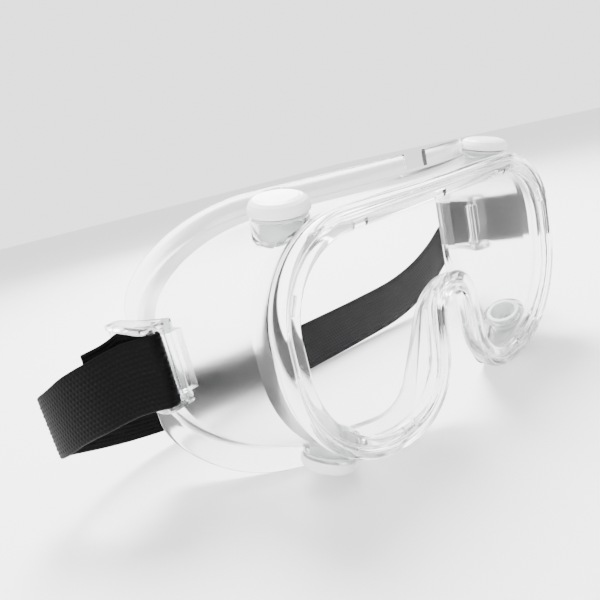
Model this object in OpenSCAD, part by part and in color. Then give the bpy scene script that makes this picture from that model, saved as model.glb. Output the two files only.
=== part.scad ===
// Chemical splash goggles: one clear soft body, a snapped-in lens, four baffled vents,
// two hinged strap clips and a woven elastic strap.
// The outlines are drawn about the lens datum: X across, Z up, the lens facing -Y.

/* [Lens opening] */
// Height of the opening's top edge above the datum
open_top = 34; // [30:0.5:38]
// Depth of the opening's bottom edge below the datum
open_bottom = 35.7; // [32:0.1:38]
// Half the width of the opening
open_side = 73; // [68:0.5:78]
// Radius of the upper corners
open_top_r = 25; // [20:1:30]
// Radius of the lower corners
open_low_r = 36; // [30:1:37]
// Radius of the corners beside the nose
open_cheek_r = 17.5; // [15:0.5:18]
// Distance of those corners' centres from the middle
open_cheek_x = 33; // [32:0.5:36]
// Radius of the nose arch
open_nose_r = 14.2; // [12:0.1:15]
// Depth of the nose arch's centre below the datum
open_nose_drop = 7.2; // [5:0.1:9]

/* [Face seal] */
// Radius of the face that the seal wraps
face_r = 102.6; // [98:0.2:115]
// Distance from the lens datum back to the middle of the face seal
face_y = 9.5; // [8:0.5:14]
// Thickness of the body's side walls
wall_t = 1.8; // [1.4:0.1:2.4]
// Thickness of the face flange
flange_t = 1.8; // [1.4:0.1:2.4]
// Width of the gap in the flange at the middle of the forehead
brow_gap = 12; // [8:1:20]

/* [Lens] */
// Thickness of the lens
lens_t = 2.2; // [1.5:0.1:3]
// How far the lens reaches into its groove
lens_in = 3.2; // [2:0.1:4]
// How far the clear pane stands forward of the lens's edge
pane_step = 0.3; // [0.1:0.1:0.6]
// Play between the lens and its groove
lens_play = 0.05; // [0.02:0.01:0.1]
// Width of a locating ear on the lens
ear_w = 6; // [4:0.5:8]

/* [Vents] */
// Distance of the upper vents from the middle
top_vent_x = 58.5; // [57:0.5:60]
// Distance of the lower vents from the middle
low_vent_x = 60.5; // [59:0.5:62]
// Distance of each vent behind the lens datum
vent_y = 16.8; // [16.2:0.1:17.4]
// Radius of the hole that a vent seat fits in
vent_bore_r = 7; // [6:0.1:7.2]
// Radius of a vent cap
vent_cap_r = 9.8; // [9:0.1:10]
// Height of a vent cap above its collar
vent_cap_h = 6; // [5:0.1:7]
// Angle by which the upper vents lean towards the lens
vent_lean = 15; // [12:1:18]
// Angle by which the lower vents lean outwards
vent_splay = 25; // [20:1:30]

/* [Clips] */
// Distance of the clip pins from the middle
pin_x = 91.5; // [91:0.1:92.5]
// Distance of the clip pins behind the lens datum
pin_y = 46; // [45:0.5:47]
// Height of the clips' middle above the datum
clip_z = 4.5; // [3:0.5:6]
// Height of a clip
clip_h = 29; // [28.8:0.1:30]
// Radius of a clip pin
pin_r = 1; // [0.8:0.05:1.2]
// Angle by which a clip splays outwards
clip_splay = 6; // [4:1:10]

/* [Strap] */
// Width of the elastic strap
strap_w = 25; // [24:0.5:25.5]
// Thickness of the elastic strap
strap_t = 1.6; // [1.2:0.1:2]

/* [Hidden] */
$fn = 48;

// The whole part is moved so that it stands on z = 0 about the middle of its footprint.
floor_lift = 47.5;
rest_x = 4.63;
rest_y = -49.45;

running_gap = 0.05;
arc_steps = [10, 10, 8, 8];

// ---- outlines: four arcs from the top middle round to the nose middle ----

// An outline's arcs as [x, z, radius, first angle, last angle, +1 outward or -1 inward].
function arcs(side, top, bottom, top_r, low_r, cheek_r, cheek_x, nose_r, nose_z) =
    let (
        cheek_z = cheek_r - bottom,
        gap = norm([cheek_x, cheek_z - nose_z]),
        lean = atan2(cheek_z - nose_z, cheek_x) + acos((cheek_r + nose_r) / gap)
    ) [
        [side - top_r, top - top_r, top_r, 90, 0, 1],
        [side - low_r, low_r - bottom, low_r, 0, -90, 1],
        [cheek_x, cheek_z, cheek_r, -90, lean - 180, 1],
        [0, nose_z, nose_r, lean, 90, -1]
    ];

function arc_point(a, d, t) =
    let (r = a[2] + a[5] * d, angle = a[3] + (a[4] - a[3]) * t)
    [a[0] + r * cos(angle), a[1] + r * sin(angle)];

function arc_points(a, d, n) = [for (i = [0:n]) arc_point(a, d, i / n)];

function mix(a, b, t) = a * (1 - t) + b * t;

// Half an outline, grown outwards by d, from the top middle to the nose middle.
function half_outline(shape, d) =
    let (
        start = arc_point(shape[0], d, 0),
        low_end = arc_point(shape[1], d, 1),
        cheek_start = arc_point(shape[2], d, 0)
    )
    concat(
        [for (t = [0, 1/3, 2/3]) [start[0] * t, start[1]]],
        arc_points(shape[0], d, arc_steps[0]),
        arc_points(shape[1], d, arc_steps[1]),
        [mix(low_end, cheek_start, 0.5)],
        arc_points(shape[2], d, arc_steps[2]),
        arc_points(shape[3], d, arc_steps[3])
    );

// A half ring of points, closed with its mirror image.
function whole_ring(half) =
    let (last = len(half) - 1)
    concat(half, [for (i = [last - 1:-1:1]) [-half[i][0], half[i][1], half[i][2]]]);

function whole_outline(shape, d) =
    let (half = half_outline(shape, d), last = len(half) - 1)
    concat(half, [for (i = [last - 1:-1:1]) [-half[i][0], half[i][1]]]);

opening = arcs(open_side, open_top, open_bottom, open_top_r, open_low_r,
    open_cheek_r, open_cheek_x, open_nose_r, -open_nose_drop);
// Where the side walls meet the face flange.
wall_end = arcs(open_side + 19, open_top + 10.5, open_bottom + 1.3, 32, 26, 17, 40, 16, -12);
// The flange's outer edge.
flange_edge = arcs(open_side + 20.8, open_top + 17.5, floor_lift, 34, 24.5, 18.5, 38, 12, -12);

// ---- the face that the seal wraps: an upright cylinder behind the lens ----

function face_at(x) = face_y + face_r - sqrt(face_r * face_r - x * x);

// A point t in front of the face, straight out from it.
function off_face(p, t) =
    let (k = (face_r + t) / face_r)
    [p[0] * k, face_y + face_r - k * sqrt(face_r * face_r - p[0] * p[0]), p[1]];

// ---- the body's section, carried round the opening ----

// Rings of the rim: offset from the opening, then depth behind the lens datum.
rim_front = [
    [0.0, 1.1], [0.4, 0.3], [1.6, -0.3], [3.2, -0.2], [4.2, 0.8], [4.9, 0.9], [5.3, 0.0],
    [6.4, -0.5], [7.5, 0.3], [8.1, 1.9], [8.0, 3.9], [7.3, 5.6], [6.4, 6.6]
];
rim_back = [
    [3.8, 7.6], [1.2, 6.6], [0.7, 5.2], [0.7, 1.45 + lens_t + 2 * lens_play],
    [lens_in + lens_play, 1.45 + lens_t + 2 * lens_play], [lens_in + lens_play, 1.45], [0.0, 1.45]
];
wall_front_d = 6.2;
wall_root = 2.4;

function rim_ring(p) = [for (q = half_outline(opening, p[0])) [q[0], p[1], q[1]]];

// A ring of the side wall, a share t of the way from the rim to the flange.
function wall_ring(t, inset, start_y) =
    let (
        front = half_outline(opening, wall_front_d - inset),
        back = half_outline(wall_end, -inset)
    )
    [for (i = [0:len(front) - 1])
        let (
            p = mix(front[i], back[i], t),
            y = mix(start_y, face_at(back[i][0]) - wall_root, t)
        ) [p[0], y, p[1]]];

// A ring of the flange, a share t of the way out to its edge and h in front of the face.
function flange_ring(t, h) =
    let (inner = half_outline(wall_end, 0), outer = half_outline(flange_edge, 0))
    [for (i = [0:len(inner) - 1]) off_face(mix(inner[i], outer[i], t), h)];

body_rings = concat(
    [for (p = rim_front) rim_ring(p)],
    [for (t = [0.2, 0.45, 0.7, 0.9]) wall_ring(t, 0, 7)],
    [flange_ring(0.12, flange_t + 0.6)],
    [for (t = [0.3, 0.65, 0.95]) flange_ring(t, flange_t)],
    [flange_ring(1, flange_t * 0.6)],
    [flange_ring(1, flange_t * 0.2)],
    [for (t = [0.92, 0.5, 0.1]) flange_ring(t, 0)],
    [wall_ring(0.97, wall_t, 8.4)],
    [for (t = [0.75, 0.5, 0.25]) wall_ring(t, wall_t, 8.4)],
    [for (p = rim_back) rim_ring(p)]
);

module body_shell() {
    rings = [for (r = body_rings) whole_ring(r)];
    count = len(rings);
    sides = len(rings[0]);
    polyhedron(
        points = [for (r = rings) each r],
        faces = [for (k = [0:count - 1]) for (i = [0:sides - 1])
            let (
                a = k * sides + i,
                b = k * sides + (i + 1) % sides,
                c = ((k + 1) % count) * sides + (i + 1) % sides,
                d = ((k + 1) % count) * sides + i
            )
            each [[a, c, b], [a, d, c]]]
    );
}

// ---- places ----

module at_rest() {
    translate([rest_x, rest_y, floor_lift]) children();
}

// Left as worn is +X and right is -X: the right side mirrors the left.
module on_side(across) {
    mirror([across < 0 ? 1 : 0, 0, 0]) children();
}

// A vent's own Z axis runs out through the wall, from the wall's outer face.
module at_vent(across, up) {
    on_side(across)
        translate([up > 0 ? top_vent_x : low_vent_x, vent_y, up > 0 ? top_vent_z : low_vent_z])
            rotate(up > 0 ? [vent_lean, 4, 0] : [180, -vent_splay, 0])
                children();
}

// A clip's own Z axis is its hinge pin, and Y runs back along it.
module at_clip(across) {
    on_side(across)
        translate([pin_x, pin_y, clip_z])
            rotate(-clip_splay)
                children();
}

// A place on the lip of the rim: X out across the lip, Z along it.
module at_ear(place) {
    translate([place[0], 0, place[1]]) rotate([0, -place[2], 0]) children();
}

// ---- frame body ----

top_vent_z = 42.2;
low_vent_z = -37.2;
collar_r = 9.2;
collar_out = 1.2;
collar_in = 6.2;
cap_room = 0.35;
lug_r = 2.4;
lug_h = 21;
lug_reach = 4.4;
ear_depth = 2.4;
side_ear_turn = 24;
side_ear = arc_point(opening[0], 0, 1 - side_ear_turn / 90);

// Ears as [x, z, angle of the way out across the lip].
ear_places = [
    [0, open_top, 90],
    [42, open_top, 90],
    [-42, open_top, 90],
    [side_ear[0], side_ear[1], side_ear_turn],
    [-side_ear[0], side_ear[1], 180 - side_ear_turn],
    [open_side - open_low_r, -open_bottom, -90],
    [open_low_r - open_side, -open_bottom, -90]
];

module ear_notches() {
    for (place = ear_places)
        at_ear(place)
            translate([-1, -1.5, -ear_w / 2])
                cube([1 + ear_depth + 0.2, 3, ear_w]);
}

module clip_lug() {
    cylinder(r = lug_r, h = lug_h, center = true);
    translate([-lug_reach, -lug_r, -lug_h / 2]) cube([lug_reach, 2 * lug_r, lug_h]);
}

module frame_body() {
    color("gainsboro")
        difference() {
            union() {
                body_shell();
                for (across = [-1, 1]) {
                    for (up = [-1, 1])
                        at_vent(across, up)
                            translate([0, 0, -collar_in])
                                cylinder(r = collar_r, h = collar_in + collar_out);
                    at_clip(across) clip_lug();
                }
            }
            for (across = [-1, 1]) {
                for (up = [-1, 1])
                    at_vent(across, up)
                        vent_hole();
                at_clip(across)
                    cylinder(r = pin_r + running_gap, h = lug_h + 2, center = true);
            }
            ear_notches();
            brow_cut();
        }
}

// The bore for a vent's seat, and a shallow relief beside the flange for its cap.
module vent_hole() {
    translate([0, 0, -collar_in - 1.5])
        cylinder(r = vent_bore_r, h = collar_in + collar_out + 3);
    translate([0, 0, collar_out])
        cylinder(r = vent_cap_r + cap_room, h = 8);
}

// The flange stops short of the middle of the forehead.
module brow_cut() {
    translate([-brow_gap / 2, face_y - 6, open_top + 11.6])
        cube([brow_gap, 12, 10]);
}

// ---- lens ----

module lens() {
    lens_front = 1.45 + lens_play;
    color("aliceblue") {
        translate([0, lens_front + lens_t, 0])
            rotate([90, 0, 0])
                linear_extrude(lens_t)
                    polygon(whole_outline(opening, lens_in));
        translate([0, lens_front + 0.1, 0])
            rotate([90, 0, 0])
                linear_extrude(pane_step + 0.1)
                    polygon(whole_outline(opening, -0.3));
        for (place = ear_places)
            at_ear(place)
                translate([0.4, 0.5, 0.15 - ear_w / 2])
                    cube([ear_depth - 0.4, lens_front - 0.4, ear_w - 0.3]);
    }
}

// ---- vents ----

seat_top = collar_out + 0.85;
post_r = 1.5;
post_top = 5.2;

module vent_seat(across, up) {
    seat_r = vent_bore_r - running_gap;
    bottom = -collar_in - 1.1;
    color("whitesmoke")
        at_vent(across, up) {
            rotate_extrude()
                polygon([
                    [5.6, bottom], [seat_r + 0.2, bottom], [seat_r + 0.8, bottom + 1],
                    [seat_r, bottom + 1], [seat_r, collar_out + 0.05],
                    [8.8, collar_out + 0.05], [8.8, seat_top], [5.6, seat_top]
                ]);
            for (turn = [0:45:135])
                rotate(turn)
                    translate([-5.8, -0.6, seat_top - 1.1])
                        cube([11.6, 1.2, 1.1]);
            translate([0, 0, seat_top - 1.1])
                cylinder(r = 2.2, h = 1.1);
            translate([0, 0, seat_top - 0.5])
                cylinder(r = post_r, h = post_top - seat_top + 0.5);
        }
}

module vent_cap(across, up) {
    top = collar_out + vent_cap_h;
    color("white")
        at_vent(across, up)
            rotate_extrude()
                polygon([
                    [0, post_top], [post_r + 0.05, post_top], [post_r + 0.05, 3.2], [3, 3.2],
                    [3.2, 5], [8.4, 4.8], [9, 2.7], [vent_cap_r - 0.1, 2.7],
                    [vent_cap_r, 3.4], [vent_cap_r - 0.25, 4.6], [vent_cap_r - 1, top - 1.3],
                    [vent_cap_r - 2.1, top - 0.55], [vent_cap_r - 3.6, top - 0.15], [0, top]
                ]);
}

// ---- strap clips ----

cheek_t = 1.7;
bar_front = [6.4, -0.9, 1.5];
bar_back = [7.2, 23.4, 1.3];

// The outline of a clip's cheek, from the pin round to the back.
cheek_outline = [
    [-2.2, 0], [-1.5, -1.7], [0, -2.4], [4, -2.7], [7.6, -2.6], [9.2, -1.2], [9.8, 1],
    [9.8, 12], [9.3, 23.5], [8.4, 25], [7, 25.4], [4.4, 25], [3.4, 23.6], [2.6, 16],
    [1.2, 9], [-1.4, 2]
];

module clip(across) {
    color("ghostwhite")
        at_clip(across)
            difference() {
                union() {
                    for (end = [-1, 1])
                        translate([0, 0, end * (clip_h - cheek_t) / 2 - cheek_t / 2])
                            linear_extrude(cheek_t)
                                polygon(cheek_outline);
                    for (bar = [bar_front, bar_back])
                        translate([bar[0], bar[1], 0])
                            cylinder(r = bar[2], h = clip_h - 0.4, center = true);
                    for (end = [-1, 1])
                        translate([0, 0, end * (lug_h + clip_h) / 4 + end * 0.1])
                            cylinder(r = lug_r - 0.2, h = (clip_h - lug_h) / 2 - 0.2, center = true);
                }
                cylinder(r = pin_r, h = clip_h + 2, center = true);
            }
}

module clip_pin(across) {
    color("silver")
        at_clip(across)
            cylinder(r = pin_r, h = clip_h, center = true);
}

// ---- strap ----

// A ribbon on edge: its middle line is a list of points, its width is upright.
module ribbon(line) {
    last = len(line) - 1;
    along = [for (i = [0:last])
        let (d = line[min(i + 1, last)] - line[max(i - 1, 0)], l = norm([d[0], d[1]]))
        [-d[1] / l, d[0] / l]];
    rings = [for (i = [0:last])
        for (corner = [[1, 1], [1, -1], [-1, -1], [-1, 1]])
            line[i] + [
                along[i][0] * corner[0] * strap_t / 2,
                along[i][1] * corner[0] * strap_t / 2,
                corner[1] * strap_w / 2
            ]];
    polyhedron(
        points = rings,
        faces = concat(
            [[0, 1, 2, 3], [for (k = [3:-1:0]) 4 * last + k]],
            [for (i = [0:last - 1]) for (k = [0:3])
                let (a = 4 * i + k, b = 4 * i + (k + 1) % 4)
                each [[a, a + 4, b + 4], [a, b + 4, b]]]
        )
    );
}

// The right strap end: from the fold in to the front bar, round it and out between the bars.
bar_right = [-97.8, 44.4];
wrap_r = bar_front[2] + 0.25 + strap_t / 2;
right_line = concat(
    [[-127.4, 83.2, -11.4], [-125.6, 76.4, -8.6], [-121.8, 68, -4.2], [-115.5, 58.6, -0.2]],
    [[-106.8, 49.6, 3.5]],
    [for (turn = [-40:-28.4:-182])
        [bar_right[0] - wrap_r * cos(turn), bar_right[1] + wrap_r * sin(turn), clip_z]],
    [[-96.9, 52, clip_z], [-100.2, 58, clip_z], [-102.4, 61.6, 4.3], [-104.9, 63.5, 2.9]],
    [[-108, 64.8, 1.8], [-113.8, 67.6, 0.4]]
);

// The left strap end: from the fold in past the back bar, out past the front bar, to a short tail.
left_line = [
    [118.5, 80, -8], [112.5, 77.6, -4.2], [106.5, 75.5, 0.4], [102, 73.4, 4.1], [98.5, 69.6, clip_z],
    [98, 65.5, clip_z], [99.2, 59, clip_z], [101.2, 52, clip_z], [102.4, 46, clip_z],
    [103.2, 38, clip_z], [103.8, 30, 5], [104, 22, 5.5]
];

// The back of the strap: its lower edge rests on the floor behind the goggles.
strap_floor_z = strap_w / 2 - floor_lift + 0.1;
back_line = [
    [-124, 87, -13.5], [-112, 93.2, -19.5], [-97, 97, -25], [-72, 98.6, -30.5],
    [-45, 97.6, -33.8], [-20, 95.6, strap_floor_z], [10, 93.2, strap_floor_z],
    [40, 91.2, strap_floor_z + 0.6], [66, 89, -32.6], [86, 87, -27.6], [101, 85.2, -20.5],
    [114.5, 83.4, -11.5]
];

module strap_end_right() {
    color("black") ribbon(right_line);
}

module strap_end_left() {
    color("black") ribbon(left_line);
}

module strap_back() {
    color("black") ribbon(back_line);
}

at_rest() {
    frame_body();
    lens();
    vent_seat(-1, 1);  // vent_seat_top_right
    vent_seat(1, 1);  // vent_seat_top_left
    vent_seat(-1, -1);  // vent_seat_bottom_right
    vent_seat(1, -1);  // vent_seat_bottom_left
    vent_cap(-1, 1);  // vent_cap_top_right
    vent_cap(1, 1);  // vent_cap_top_left
    vent_cap(-1, -1);  // vent_cap_bottom_right
    vent_cap(1, -1);  // vent_cap_bottom_left
    clip(-1);  // clip_right
    clip(1);  // clip_left
    clip_pin(-1);  // clip_pin_right
    clip_pin(1);  // clip_pin_left
    strap_end_right();
    strap_end_left();
    strap_back();
}
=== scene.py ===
"""Chemical splash goggles: the looks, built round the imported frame. Lengths are in metres."""
import math

import bpy
import bmesh
import numpy as np
from mathutils import Matrix, Vector


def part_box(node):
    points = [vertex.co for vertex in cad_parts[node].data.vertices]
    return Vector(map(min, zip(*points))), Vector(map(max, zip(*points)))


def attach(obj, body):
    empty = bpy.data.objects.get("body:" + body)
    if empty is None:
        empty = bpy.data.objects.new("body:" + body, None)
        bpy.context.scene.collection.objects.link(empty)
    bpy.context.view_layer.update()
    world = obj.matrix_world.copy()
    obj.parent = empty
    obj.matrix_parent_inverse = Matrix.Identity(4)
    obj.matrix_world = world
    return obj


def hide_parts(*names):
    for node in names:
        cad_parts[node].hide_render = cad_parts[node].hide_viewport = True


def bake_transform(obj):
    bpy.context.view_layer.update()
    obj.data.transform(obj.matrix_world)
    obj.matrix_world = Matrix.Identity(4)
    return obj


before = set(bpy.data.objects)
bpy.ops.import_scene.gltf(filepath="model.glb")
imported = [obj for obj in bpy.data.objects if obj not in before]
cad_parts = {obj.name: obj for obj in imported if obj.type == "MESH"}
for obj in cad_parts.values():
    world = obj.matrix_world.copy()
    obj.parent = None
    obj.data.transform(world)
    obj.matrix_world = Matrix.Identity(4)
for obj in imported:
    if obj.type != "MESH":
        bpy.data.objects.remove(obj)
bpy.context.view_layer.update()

MM = 0.001

# ---- the part's own datum: the lens opening's middle, X across, Y back, Z up ----

lens_lo, lens_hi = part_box("lens")
LENS_IN = 3.2 * MM
OPEN_TOP = 34 * MM
LENS_BACK = 3.7 * MM
DATUM = Vector(((lens_lo.x + lens_hi.x) / 2, lens_hi.y - LENS_BACK, lens_hi.z - OPEN_TOP - LENS_IN))


def place(x, y, z):
    """A point given in millimetres from the lens datum."""
    return DATUM + Vector((x, y, z)) * MM


# ---- small helpers ----


def new_object(name, mesh):
    obj = bpy.data.objects.new(name, mesh)
    bpy.context.scene.collection.objects.link(obj)
    return obj


def apply_modifiers(obj):
    """Turns what the modifiers make into the object's own mesh."""
    graph = bpy.context.evaluated_depsgraph_get()
    mesh = bpy.data.meshes.new_from_object(obj.evaluated_get(graph))
    obj.modifiers.clear()
    obj.data = mesh
    return obj


def shade_smooth(obj, angle=None):
    obj.data.polygons.foreach_set("use_smooth", [True] * len(obj.data.polygons))
    if angle is not None:
        obj.data.set_sharp_from_angle(angle=math.radians(angle))


# ---- camera, lights and floor ----

CAMERA_AT = place(-152.0, -105.1, 56.5)
CAMERA_AZIMUTH = math.radians(-37.53)
CAMERA_ELEVATION = math.radians(14.84)
CAMERA_ROLL = math.radians(-13.35)
LENS_MM = 30.16
SENSOR_MM = 36.0


def make_camera():
    a, e = CAMERA_AZIMUTH, CAMERA_ELEVATION
    back = Vector((math.sin(a) * math.cos(e), -math.cos(a) * math.cos(e), math.sin(e)))
    turn = (-back).to_track_quat("-Z", "Y").to_matrix()
    data = bpy.data.cameras.new("camera")
    data.lens = LENS_MM
    data.sensor_width = SENSOR_MM
    data.clip_start = 0.005
    camera = bpy.data.objects.new("camera", data)
    bpy.context.scene.collection.objects.link(camera)
    turn = turn @ Matrix.Rotation(CAMERA_ROLL, 3, "Z")
    camera.matrix_world = Matrix.Translation(CAMERA_AT) @ turn.to_4x4()
    bpy.context.scene.camera = camera


def area_light(name, at, aim_height, size, power):
    """A round white light that points at the goggles."""
    data = bpy.data.lights.new(name, "AREA")
    data.shape = "DISK"
    data.size = size
    data.energy = power
    light = bpy.data.objects.new(name, data)
    bpy.context.scene.collection.objects.link(light)
    light.location = at
    light.rotation_euler = (Vector((0, 0, aim_height)) - Vector(at)).to_track_quat("-Z", "Y").to_euler()


WORLD_FRONT = 0.9
WORLD_BACK = 2.4
BACK_FROM = 0.6
FLOOR_REACH = 4.0


def make_world():
    """A plain surround that brightens from the front of the goggles to the back."""
    world = bpy.data.worlds.new("studio")
    world.use_nodes = True
    tree = world.node_tree
    background = tree.nodes["Background"]
    background.inputs["Strength"].default_value = 1.0
    coords = tree.nodes.new("ShaderNodeTexCoord")
    split = tree.nodes.new("ShaderNodeSeparateXYZ")
    ramp = tree.nodes.new("ShaderNodeValToRGB")
    ramp.color_ramp.elements[0].position = 0.0
    ramp.color_ramp.elements[0].color = (*[WORLD_FRONT] * 3, 1)
    ramp.color_ramp.elements[1].position = BACK_FROM
    ramp.color_ramp.elements[1].color = (*[WORLD_BACK] * 3, 1)
    shift = tree.nodes.new("ShaderNodeMath")
    shift.operation = "MULTIPLY_ADD"
    shift.inputs[1].default_value = 0.5
    shift.inputs[2].default_value = 0.5
    tree.links.new(coords.outputs["Generated"], split.inputs["Vector"])
    tree.links.new(split.outputs["Y"], shift.inputs[0])
    tree.links.new(shift.outputs["Value"], ramp.inputs["Fac"])
    tree.links.new(ramp.outputs["Color"], background.inputs["Color"])
    bpy.context.scene.world = world


def make_floor():
    mesh = bpy.data.meshes.new("floor")
    r = FLOOR_REACH
    mesh.from_pydata([(-r, -r, 0), (r, -r, 0), (r, r, 0), (-r, r, 0)], [], [(0, 1, 2, 3)])
    floor = new_object("floor", mesh)
    mat = bpy.data.materials.new("pale_floor")
    mat.use_nodes = True
    shader = mat.node_tree.nodes["Principled BSDF"]
    shader.inputs["Base Color"].default_value = (0.86, 0.86, 0.865, 1)
    shader.inputs["Roughness"].default_value = 0.75
    mesh.materials.append(mat)


make_camera()
make_world()
make_floor()
area_light("key", (0.15, 0.25, 0.8), 0.03, 0.4, 26.0)
area_light("back", (0.45, 0.6, 0.5), 0.04, 0.5, 14.0)
area_light("front_left", (-0.7, -0.45, 0.35), 0.04, 0.3, 5.0)

# ---- materials ----


def material(name):
    mat = bpy.data.materials.new(name)
    mat.use_nodes = True
    tree = mat.node_tree
    return mat, tree, tree.nodes["Principled BSDF"]


def noise_bump(tree, shader, scale, strength, distance, detail=2.0):
    coords = tree.nodes.new("ShaderNodeTexCoord")
    noise = tree.nodes.new("ShaderNodeTexNoise")
    noise.inputs["Scale"].default_value = scale
    noise.inputs["Detail"].default_value = detail
    bump = tree.nodes.new("ShaderNodeBump")
    bump.inputs["Strength"].default_value = strength
    bump.inputs["Distance"].default_value = distance
    tree.links.new(coords.outputs["Object"], noise.inputs["Vector"])
    tree.links.new(noise.outputs["Fac"], bump.inputs["Height"])
    tree.links.new(bump.outputs["Normal"], shader.inputs["Normal"])
    return noise


def clear_plastic(name, color, roughness, ior, transmission=1.0):
    mat, tree, shader = material(name)
    shader.inputs["Base Color"].default_value = (*color, 1)
    shader.inputs["Roughness"].default_value = roughness
    shader.inputs["IOR"].default_value = ior
    shader.inputs["Transmission Weight"].default_value = transmission
    return mat, tree, shader


def make_rim_pvc():
    mat, tree, shader = clear_plastic("pvc_clear", (0.975, 0.98, 0.98), 0.1, 1.38)
    noise_bump(tree, shader, 55, 0.06, 0.0004)
    return mat


def make_wall_pvc():
    mat, tree, shader = clear_plastic("pvc_frosted", (0.985, 0.985, 0.985), 0.3, 1.13)
    noise_bump(tree, shader, 900, 0.10, 0.0001, detail=4.0)
    return mat


def make_flange_pvc():
    mat, tree, shader = clear_plastic("pvc_flange", (0.965, 0.97, 0.97), 0.14, 1.42)
    noise_bump(tree, shader, 300, 0.05, 0.0002)
    return mat


def make_lens_pc():
    mat, tree, shader = clear_plastic("polycarbonate", (0.99, 0.995, 0.995), 0.015, 1.12)
    shader.inputs["Specular IOR Level"].default_value = 0.04
    noise_bump(tree, shader, 12, 0.02, 0.0003)
    return mat


def make_clip_plastic():
    mat, tree, shader = clear_plastic("clip_clear", (0.96, 0.975, 0.975), 0.05, 1.5)
    noise_bump(tree, shader, 120, 0.04, 0.0002)
    return mat


def make_vent_plastic(name, color, roughness, transmission):
    mat, tree, shader = clear_plastic(name, color, roughness, 1.45, transmission)
    shader.inputs["Subsurface Weight"].default_value = 0.25
    shader.inputs["Subsurface Radius"].default_value = (0.004, 0.004, 0.004)
    noise_bump(tree, shader, 500, 0.06, 0.0001, detail=3.0)
    return mat


def make_webbing():
    mat, tree, shader = material("black_webbing")
    shader.inputs["Base Color"].default_value = (0.0016, 0.0016, 0.0018, 1)
    shader.inputs["Roughness"].default_value = 0.5
    shader.inputs["Specular IOR Level"].default_value = 0.04
    shader.inputs["Sheen Weight"].default_value = 0.004
    shader.inputs["Sheen Roughness"].default_value = 0.4
    noise_bump(tree, shader, 2500, 0.3, 0.0001, detail=3.0)
    return mat


PVC_RIM = make_rim_pvc()
PVC_WALL = make_wall_pvc()
PVC_FLANGE = make_flange_pvc()
LENS_PC = make_lens_pc()
CLIP_PLASTIC = make_clip_plastic()
VENT_CAP = make_vent_plastic("vent_cap_white", (0.9, 0.9, 0.89), 0.3, 0.0)
VENT_SEAT = make_vent_plastic("vent_seat_milky", (0.88, 0.9, 0.9), 0.35, 0.45)
WEBBING = make_webbing()

# ---- frame body: the CAD section, carried round the opening on a finer grid ----

FACE_R = 102.6
FACE_Y = 9.5
WALL_T = 1.8
# Distance out from the opening, then how far back the outer and the inner face begin
WALL_START = (6.2, 7, 8.4)
WALL_INTO_FLANGE = 2.4
FLANGE_T = 1.8
LENS_T = 2.2
PLAY = 0.05
ARC_STEPS = (20, 22, 14, 16)


def arcs(side, top, bottom, top_r, low_r, cheek_r, cheek_x, nose_r, nose_z):
    """An outline's arcs as (x, z, radius, first angle, last angle, +1 outward or -1 inward)."""
    cheek_z = cheek_r - bottom
    gap = math.hypot(cheek_x, cheek_z - nose_z)
    lean = math.degrees(math.atan2(cheek_z - nose_z, cheek_x) + math.acos((cheek_r + nose_r) / gap))
    return [
        (side - top_r, top - top_r, top_r, 90, 0, 1),
        (side - low_r, low_r - bottom, low_r, 0, -90, 1),
        (cheek_x, cheek_z, cheek_r, -90, lean - 180, 1),
        (0, nose_z, nose_r, lean, 90, -1),
    ]


OPENING = arcs(73, 34, 35.7, 25, 36, 17.5, 33, 14.2, -7.2)
WALL_END = arcs(92, 44.5, 37, 32, 26, 17, 40, 16, -12)
FLANGE_EDGE = arcs(93.8, 51.5, 47.5, 34, 24.5, 18.5, 38, 12, -12)


def arc_point(arc, d, t):
    r = arc[2] + arc[5] * d
    angle = math.radians(arc[3] + (arc[4] - arc[3]) * t)
    return np.array([arc[0] + r * math.cos(angle), arc[1] + r * math.sin(angle)])


def half_outline(shape, d):
    """Half an outline, grown by d, from the top middle round to the nose middle."""
    start = arc_point(shape[0], d, 0)
    points = [np.array([start[0] * t, start[1]]) for t in np.linspace(0, 1, 8)[:-1]]
    for k, (arc, steps) in enumerate(zip(shape, ARC_STEPS)):
        if k == 2:
            low_end = arc_point(shape[1], d, 1)
            cheek_start = arc_point(arc, d, 0)
            points += [low_end * (1 - t) + cheek_start * t for t in (0.2, 0.4, 0.6, 0.8)]
        points += [arc_point(arc, d, i / steps) for i in range(steps + 1)]
    return np.array(points)


def face_at(x):
    return FACE_Y + FACE_R - np.sqrt(FACE_R ** 2 - x ** 2)


def rim_ring(d, y):
    out = half_outline(OPENING, d)
    return np.column_stack([out[:, 0], np.full(len(out), y), out[:, 1]])


def wall_ring(t, inset, start_y):
    front = half_outline(OPENING, WALL_START[0] - inset)
    back = half_outline(WALL_END, -inset)
    p = front * (1 - t) + back * t
    y = start_y * (1 - t) + (face_at(back[:, 0]) - WALL_INTO_FLANGE) * t
    return np.column_stack([p[:, 0], y, p[:, 1]])


def flange_ring(t, h):
    p = half_outline(WALL_END, 0) * (1 - t) + half_outline(FLANGE_EDGE, 0) * t
    k = (FACE_R + h) / FACE_R
    y = FACE_Y + FACE_R - k * np.sqrt(FACE_R ** 2 - p[:, 0] ** 2)
    return np.column_stack([p[:, 0] * k, y, p[:, 1]])


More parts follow.
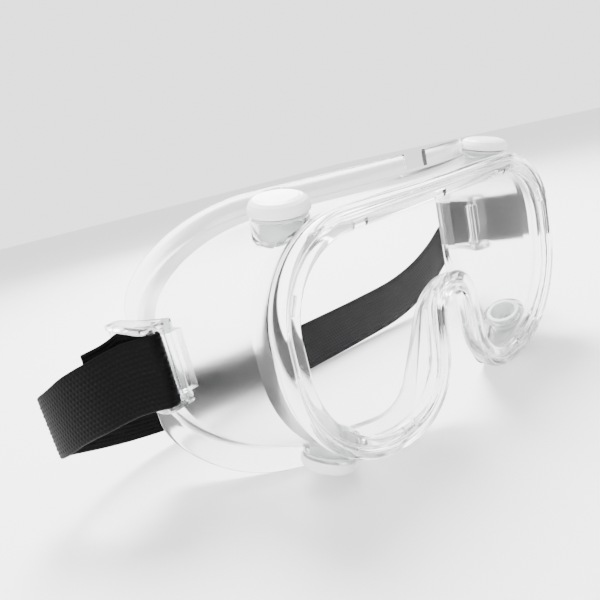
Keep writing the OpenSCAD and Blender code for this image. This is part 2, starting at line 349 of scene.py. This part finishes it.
RIM_FRONT = [
    (0.0, 1.1), (0.4, 0.3), (1.6, -0.3), (3.2, -0.2), (4.2, 0.8), (4.9, 0.9), (5.3, 0.0),
    (6.4, -0.5), (7.5, 0.3), (8.1, 1.9), (8.0, 3.9), (7.3, 5.6), (6.4, 6.6),
]
GROOVE_FRONT = 1.45
GROOVE_IN = 3.25
GROOVE_BACK = GROOVE_FRONT + LENS_T + 2 * PLAY
RIM_BACK = [
    (3.8, 7.6), (1.2, 6.6), (0.7, 5.2), (0.7, GROOVE_BACK),
    (GROOVE_IN, GROOVE_BACK), (GROOVE_IN, GROOVE_FRONT), (0.0, GROOVE_FRONT),
]


def body_sections():
    """Every ring of the body with the material that the faces after it take: 0 rim, 1 wall, 2 flange."""
    rings = [(rim_ring(d, y), 0) for d, y in RIM_FRONT]
    rings += [(wall_ring(t, 0, WALL_START[1]), 1) for t in (0.12, 0.3, 0.5, 0.7, 0.88, 0.955)]
    rings += [(flange_ring(0.05, FLANGE_T + 0.35), 2)]
    rings += [(flange_ring(t, FLANGE_T), 2) for t in (0.14, 0.3, 0.65, 0.95)]
    rings += [(flange_ring(1, FLANGE_T * 0.6), 2), (flange_ring(1, FLANGE_T * 0.2), 2)]
    rings += [(flange_ring(t, 0), 2) for t in (0.92, 0.5, 0.1)]
    rings += [(wall_ring(t, WALL_T, WALL_START[2]), 1) for t in (0.97, 0.75, 0.5, 0.25)]
    rings += [(rim_ring(d, y), 0) for d, y in RIM_BACK]
    return rings


def tube(bm, matrix, radius, low, high, sides=72):
    """A closed cylinder along the matrix's Z axis, in millimetres."""
    made = bmesh.ops.create_cone(
        bm, cap_ends=True, segments=sides, radius1=radius, radius2=radius, depth=high - low
    )
    middle = Matrix.Translation((0, 0, (low + high) / 2))
    bmesh.ops.transform(bm, matrix=matrix @ middle, verts=made["verts"])


def block(bm, matrix, low, high):
    """A closed box between two corners, in millimetres."""
    low, high = Vector(low), Vector(high)
    made = bmesh.ops.create_cube(bm, size=1)
    size = Matrix.Diagonal((*(high - low), 1))
    middle = Matrix.Translation((low + high) / 2)
    bmesh.ops.transform(bm, matrix=matrix @ middle @ size, verts=made["verts"])


def solid(name, bm, mat):
    mesh = bpy.data.meshes.new(name)
    bmesh.ops.transform(bm, matrix=TO_ROW, verts=bm.verts)
    bmesh.ops.recalc_face_normals(bm, faces=bm.faces)
    bm.to_mesh(mesh)
    bm.free()
    mesh.materials.append(mat)
    return new_object(name, mesh)


def combine(body, other, operation):
    boolean = body.modifiers.new(operation.lower(), "BOOLEAN")
    boolean.operation = operation
    boolean.solver = "MANIFOLD"
    boolean.object = other
    apply_modifiers(body)
    bpy.data.objects.remove(other)


TO_ROW = Matrix.Translation(DATUM) @ Matrix.Scale(MM, 4)


def turned(at, rx=0, ry=0, rz=0):
    """A place with turns about X, then Y, then Z, in degrees."""
    turn = Matrix.Rotation(math.radians(rz), 4, "Z") @ Matrix.Rotation(math.radians(ry), 4, "Y")
    return Matrix.Translation(at) @ turn @ Matrix.Rotation(math.radians(rx), 4, "X")


TOP_VENT = ((58.5, 16.8, 42.2), 15, 4)
LOW_VENT = ((60.5, 16.8, -37.2), 180, -25)
CLIP_PIN = ((91.5, 46, 4.5), 0, 0, -6)


def on_side(across):
    """A mirror in the middle plane when across is -1."""
    return Matrix.Diagonal((across, 1, 1, 1))


def at_vent(across, up):
    return on_side(across) @ turned(*(TOP_VENT if up > 0 else LOW_VENT))


def at_clip(across):
    return on_side(across) @ turned(*CLIP_PIN)


VENTS = [(across, up) for across in (-1, 1) for up in (-1, 1)]
COLLAR_R = 9.2
COLLAR_OUT = 1.2
COLLAR_IN = 6.2
VENT_BORE_R = 7
# How far a cut runs past the face that it goes through
PAST = 1.5
CAP_R = 9.8
CAP_ROOM = 0.35
CAP_RELIEF_H = 8
LUG_R = 2.4
LUG_H = 21
LUG_WEB = 4.4
PIN_BORE_R = 1.05
SLIVER = 0.01
EAR_W = 6
EAR_DEPTH = 2.6
EAR_ANGLE = 24
NOTCH_LOW = (-6, 3.5, 45.6)
NOTCH_HIGH = (6, 15.5, 55.6)


def body_additions():
    bm = bmesh.new()
    for across, up in VENTS:
        tube(bm, at_vent(across, up), COLLAR_R, -COLLAR_IN, COLLAR_OUT)
    for across in (-1, 1):
        tube(bm, at_clip(across), LUG_R, -LUG_H / 2, LUG_H / 2)
    return solid("additions", bm, PVC_RIM)


def lug_webs():
    bm = bmesh.new()
    top = LUG_H / 2 - SLIVER
    for across in (-1, 1):
        block(bm, at_clip(across), (-LUG_WEB, -LUG_R, -top), (0, LUG_R - SLIVER, top))
    return solid("webs", bm, PVC_RIM)


def ear_places():
    """The lens ears' notches in the rim's lip, as (x, z, angle outward)."""
    side = arc_point(OPENING[0], 0, 1 - EAR_ANGLE / 90)
    places = [(0, 34, 90), (42, 34, 90), (37, -35.7, -90), (side[0], side[1], EAR_ANGLE)]
    return places + [(-x, z, 180 - angle) for x, z, angle in places[1:]]


def body_cuts():
    bm = bmesh.new()
    for across, up in VENTS:
        tube(bm, at_vent(across, up), VENT_BORE_R, -COLLAR_IN - PAST, COLLAR_OUT + PAST)
    for across in (-1, 1):
        tube(bm, at_clip(across), PIN_BORE_R, -LUG_H / 2 - 1, LUG_H / 2 + 1, 32)
    for x, z, angle in ear_places():
        block(bm, turned((x, 0, z), 0, -angle), (-1, -PAST, -EAR_W / 2), (EAR_DEPTH, PAST, EAR_W / 2))
    block(bm, Matrix(), NOTCH_LOW, NOTCH_HIGH)
    return solid("cuts", bm, PVC_RIM)


def cap_reliefs():
    bm = bmesh.new()
    for across, up in VENTS:
        tube(bm, at_vent(across, up), CAP_R + CAP_ROOM, COLLAR_OUT, COLLAR_OUT + CAP_RELIEF_H)
    return solid("reliefs", bm, PVC_RIM)


def make_body():
    rings = []
    slots = []
    for half, slot in body_sections():
        mirrored = half[-2:0:-1] * np.array([-1, 1, 1])
        rings.append(np.vstack([half, mirrored]))
        slots.append(slot)
    sides = len(rings[0])
    count = len(rings)
    verts = [place(*p) for ring in rings for p in ring]
    faces = []
    marks = []
    for k in range(count):
        for i in range(sides):
            a, b = k * sides + i, k * sides + (i + 1) % sides
            c, d = ((k + 1) % count) * sides + (i + 1) % sides, ((k + 1) % count) * sides + i
            faces.append((a, b, c, d))
            marks.append(slots[k])
    mesh = bpy.data.meshes.new("body_shell")
    mesh.from_pydata(verts, [], faces)
    for mat in (PVC_RIM, PVC_WALL, PVC_FLANGE):
        mesh.materials.append(mat)
    mesh.polygons.foreach_set("material_index", marks)
    body = new_object("body_shell", mesh)
    sub = body.modifiers.new("smooth", "SUBSURF")
    sub.levels = sub.render_levels = 1
    apply_modifiers(body)
    combine(body, body_additions(), "UNION")
    combine(body, lug_webs(), "UNION")
    combine(body, cap_reliefs(), "DIFFERENCE")
    combine(body, body_cuts(), "DIFFERENCE")
    shade_smooth(body, 38)
    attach(body, "goggles")
    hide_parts("frame_body")
    return body


body_shell = make_body()

# ---- strap: one elastic band from the right tail round the back to the left tail ----

STRAP_W = 25
STRAP_T = 1.6
CLIP_Z = 4.5
RIB_PITCH = 1.67
PICK_PITCH = 1.7
RIB_STEPS = 6
PICK_STEPS = 4
RIB_DEPTH = 0.22
REST_Z = STRAP_W / 2 - 47.5 + 0.1

RIGHT_BAR = (-97.8, 44.4)
BAR_R = 1.5
BAR_GAP = 0.25
WRAP_R = BAR_R + BAR_GAP + STRAP_T / 2
TAIL = [
    (-113.8, 67.6, 0.4), (-108, 64.8, 1.8), (-104.9, 63.5, 2.9), (-102.4, 61.6, 4.3),
    (-100.2, 58, CLIP_Z), (-96.9, 52, CLIP_Z),
]
WRAP = [
    (
        RIGHT_BAR[0] - WRAP_R * math.cos(math.radians(turn)),
        RIGHT_BAR[1] + WRAP_R * math.sin(math.radians(turn)),
        CLIP_Z,
    )
    for turn in (-182, -150, -118, -86, -60, -40)
]
FRONT_STRAND = [(-106.8, 49.6, 3.5), (-115.5, 58.6, -0.2), (-121.8, 68, -4.2), (-125.6, 76.4, -8.6)]
RIGHT_FOLD = [(-127.3, 83, -11.4), (-127.3, 85.6, -12.4), (-125.6, 87.2, -13)]
BACK_STRAND = [
    (-112, 93.2, -19.5), (-97, 97, -25), (-72, 98.6, -30.5), (-45, 97.6, -33.8), (-20, 95.6, REST_Z),
    (10, 93.2, REST_Z), (40, 91.2, REST_Z + 0.6), (66, 89, -32.6), (86, 87, -27.6), (101, 85.2, -20.5),
]
LEFT_FOLD = [(113.5, 83.9, -12.2), (118, 83, -9.4), (118.4, 80.2, -8)]
LEFT_STRAND = [
    (112.5, 77.6, -4.2), (106.5, 75.5, 0.4), (102, 73.4, 4.1), (98.5, 69.6, CLIP_Z), (98, 65.5, CLIP_Z),
    (99.2, 59, CLIP_Z), (101.2, 52, CLIP_Z), (102.4, 46, CLIP_Z), (103.2, 38, CLIP_Z), (103.8, 30, 5),
    (104, 22, 5.5),
]
ROUTE = TAIL + WRAP + FRONT_STRAND + RIGHT_FOLD + BACK_STRAND + LEFT_FOLD + LEFT_STRAND
SPLIT_X = 52
EDGE_ROUND = 14


def spline(points, t):
    """A centripetal curve through the points, t running from 0 to one less than their number."""
    k = min(int(t), len(points) - 2)
    p1, p2 = points[k], points[k + 1]
    p0 = points[k - 1] if k else 2 * p1 - p2
    p3 = points[k + 2] if k + 2 < len(points) else 2 * p2 - p1
    t0 = 0.0
    t1 = t0 + math.sqrt(np.linalg.norm(p1 - p0))
    t2 = t1 + math.sqrt(np.linalg.norm(p2 - p1))
    t3 = t2 + math.sqrt(np.linalg.norm(p3 - p2))
    u = t1 + (t2 - t1) * (t - k)
    a1 = p0 * (t1 - u) / (t1 - t0) + p1 * (u - t0) / (t1 - t0)
    a2 = p1 * (t2 - u) / (t2 - t1) + p2 * (u - t1) / (t2 - t1)
    a3 = p2 * (t3 - u) / (t3 - t2) + p3 * (u - t2) / (t3 - t2)
    b1 = a1 * (t2 - u) / (t2 - t0) + a2 * (u - t0) / (t2 - t0)
    b2 = a2 * (t3 - u) / (t3 - t1) + a3 * (u - t1) / (t3 - t1)
    return b1 * (t2 - u) / (t2 - t1) + b2 * (u - t1) / (t2 - t1)


def even_path(points, step):
    """The curve through the points, resampled at about one step apart."""
    points = [np.array(p, float) for p in points]
    dense = np.array([spline(points, t) for t in np.linspace(0, len(points) - 1, 60 * len(points))])
    length = np.concatenate([[0], np.cumsum(np.linalg.norm(np.diff(dense, axis=0), axis=1))])
    stops = np.linspace(0, length[-1], round(length[-1] / step) + 1)
    return np.column_stack([np.interp(stops, length, dense[:, k]) for k in range(3)]), stops


def strap_rings():
    """The band's sections: ribs run along it and picks across it, in a brick pattern."""
    step = PICK_PITCH / PICK_STEPS
    path, stops = even_path(ROUTE, step)
    ahead = np.gradient(path, axis=0)
    flat = ahead[:, :2] / np.linalg.norm(ahead[:, :2], axis=1)[:, None]
    normal = np.column_stack([-flat[:, 1], flat[:, 0], np.zeros(len(path))])
    count = round(STRAP_W / RIB_PITCH) * RIB_STEPS
    across = np.linspace(-1, 1, count + 1)
    edge = np.sqrt(np.clip(1 - np.abs(across) ** EDGE_ROUND, 0, 1))
    rib = np.arange(count + 1) / RIB_STEPS
    crest = 0.5 - 0.5 * np.cos(2 * np.pi * rib)
    brick = np.pi * np.floor(rib)
    rings = []
    for centre, out, s in zip(path, normal, stops):
        pick = np.cos(2 * np.pi * s / PICK_PITCH + brick)
        half = (STRAP_T / 2 - RIB_DEPTH + crest * RIB_DEPTH * (0.6 + 0.4 * pick)) * edge
        top = centre + out * half[:, None] + np.outer(across * STRAP_W / 2, (0, 0, 1))
        low = centre - out * half[:, None] + np.outer(across * STRAP_W / 2, (0, 0, 1))
        rings.append(np.vstack([top, low[-2:0:-1]]))
    return path, rings


def band(name, rings):
    sides = len(rings[0])
    verts = [place(*p) for ring in rings for p in ring]
    faces = [
        (k * sides + i, k * sides + (i + 1) % sides, (k + 1) * sides + (i + 1) % sides, (k + 1) * sides + i)
        for k in range(len(rings) - 1)
        for i in range(sides)
    ]
    half = sides // 2
    for start, flip in ((0, 1), ((len(rings) - 1) * sides, -1)):
        for i in range(half):
            a, b = start + i, start + i + 1
            c, d = start + (sides - i - 1) % sides, start + (sides - i) % sides
            face = [v for k, v in enumerate((a, d, c, b)) if v not in (a, d, c, b)[:k]]
            if len(face) > 2:
                faces.append(tuple(face[::flip]))
    mesh = bpy.data.meshes.new(name)
    mesh.from_pydata(verts, [], faces)
    mesh.materials.append(WEBBING)
    obj = new_object(name, mesh)
    bm = bmesh.new()
    bm.from_mesh(mesh)
    bmesh.ops.recalc_face_normals(bm, faces=bm.faces)
    bm.to_mesh(mesh)
    bm.free()
    shade_smooth(obj, 60)
    return obj


def make_strap():
    path, rings = strap_rings()
    split = next(k for k in range(len(path)) if path[k][0] > SPLIT_X)
    right = band("strap_right", rings[: split + 1])
    left = band("strap_left", rings[split:])
    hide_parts("strap_end_right", "strap_back")
    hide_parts("strap_end_left")
    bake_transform(right)
    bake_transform(left)


make_strap()

# ---- clips, lens, vents and pins: the CAD shapes with their finish ----


def finish_node(node, mat):
    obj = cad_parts[node]
    obj.data.materials.clear()
    obj.data.materials.append(mat)


EDGE_R = 0.35 * MM
EDGE_ANGLE = 35


def softened_copy(node, body, mat):
    """A piece that stands for a CAD node: the same solid with its sharp edges rounded."""
    copy = new_object(node + "_moulded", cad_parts[node].data.copy())
    bm = bmesh.new()
    bm.from_mesh(copy.data)
    bmesh.ops.remove_doubles(bm, verts=bm.verts, dist=0.002 * MM)
    bmesh.ops.dissolve_limit(bm, angle_limit=math.radians(1.5), verts=bm.verts, edges=bm.edges)
    bm.to_mesh(copy.data)
    bm.free()
    bevel = copy.modifiers.new("edges", "BEVEL")
    bevel.width = EDGE_R
    bevel.segments = 3
    bevel.limit_method = "ANGLE"
    bevel.angle_limit = math.radians(EDGE_ANGLE)
    bevel.use_clamp_overlap = True
    apply_modifiers(copy)
    copy.data.materials.clear()
    copy.data.materials.append(mat)
    copy.data.polygons.foreach_set("material_index", [0] * len(copy.data.polygons))
    shade_smooth(copy, 40)
    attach(copy, body)
    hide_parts(node)


finish_node("lens", LENS_PC)
for corner in ("top_right", "top_left", "bottom_right", "bottom_left"):
    finish_node("vent_cap_" + corner, VENT_CAP)
    finish_node("vent_seat_" + corner, VENT_SEAT)
for side in ("right", "left"):
    softened_copy("clip_" + side, side + "_clip", CLIP_PLASTIC)
    finish_node("clip_pin_" + side, CLIP_PLASTIC)
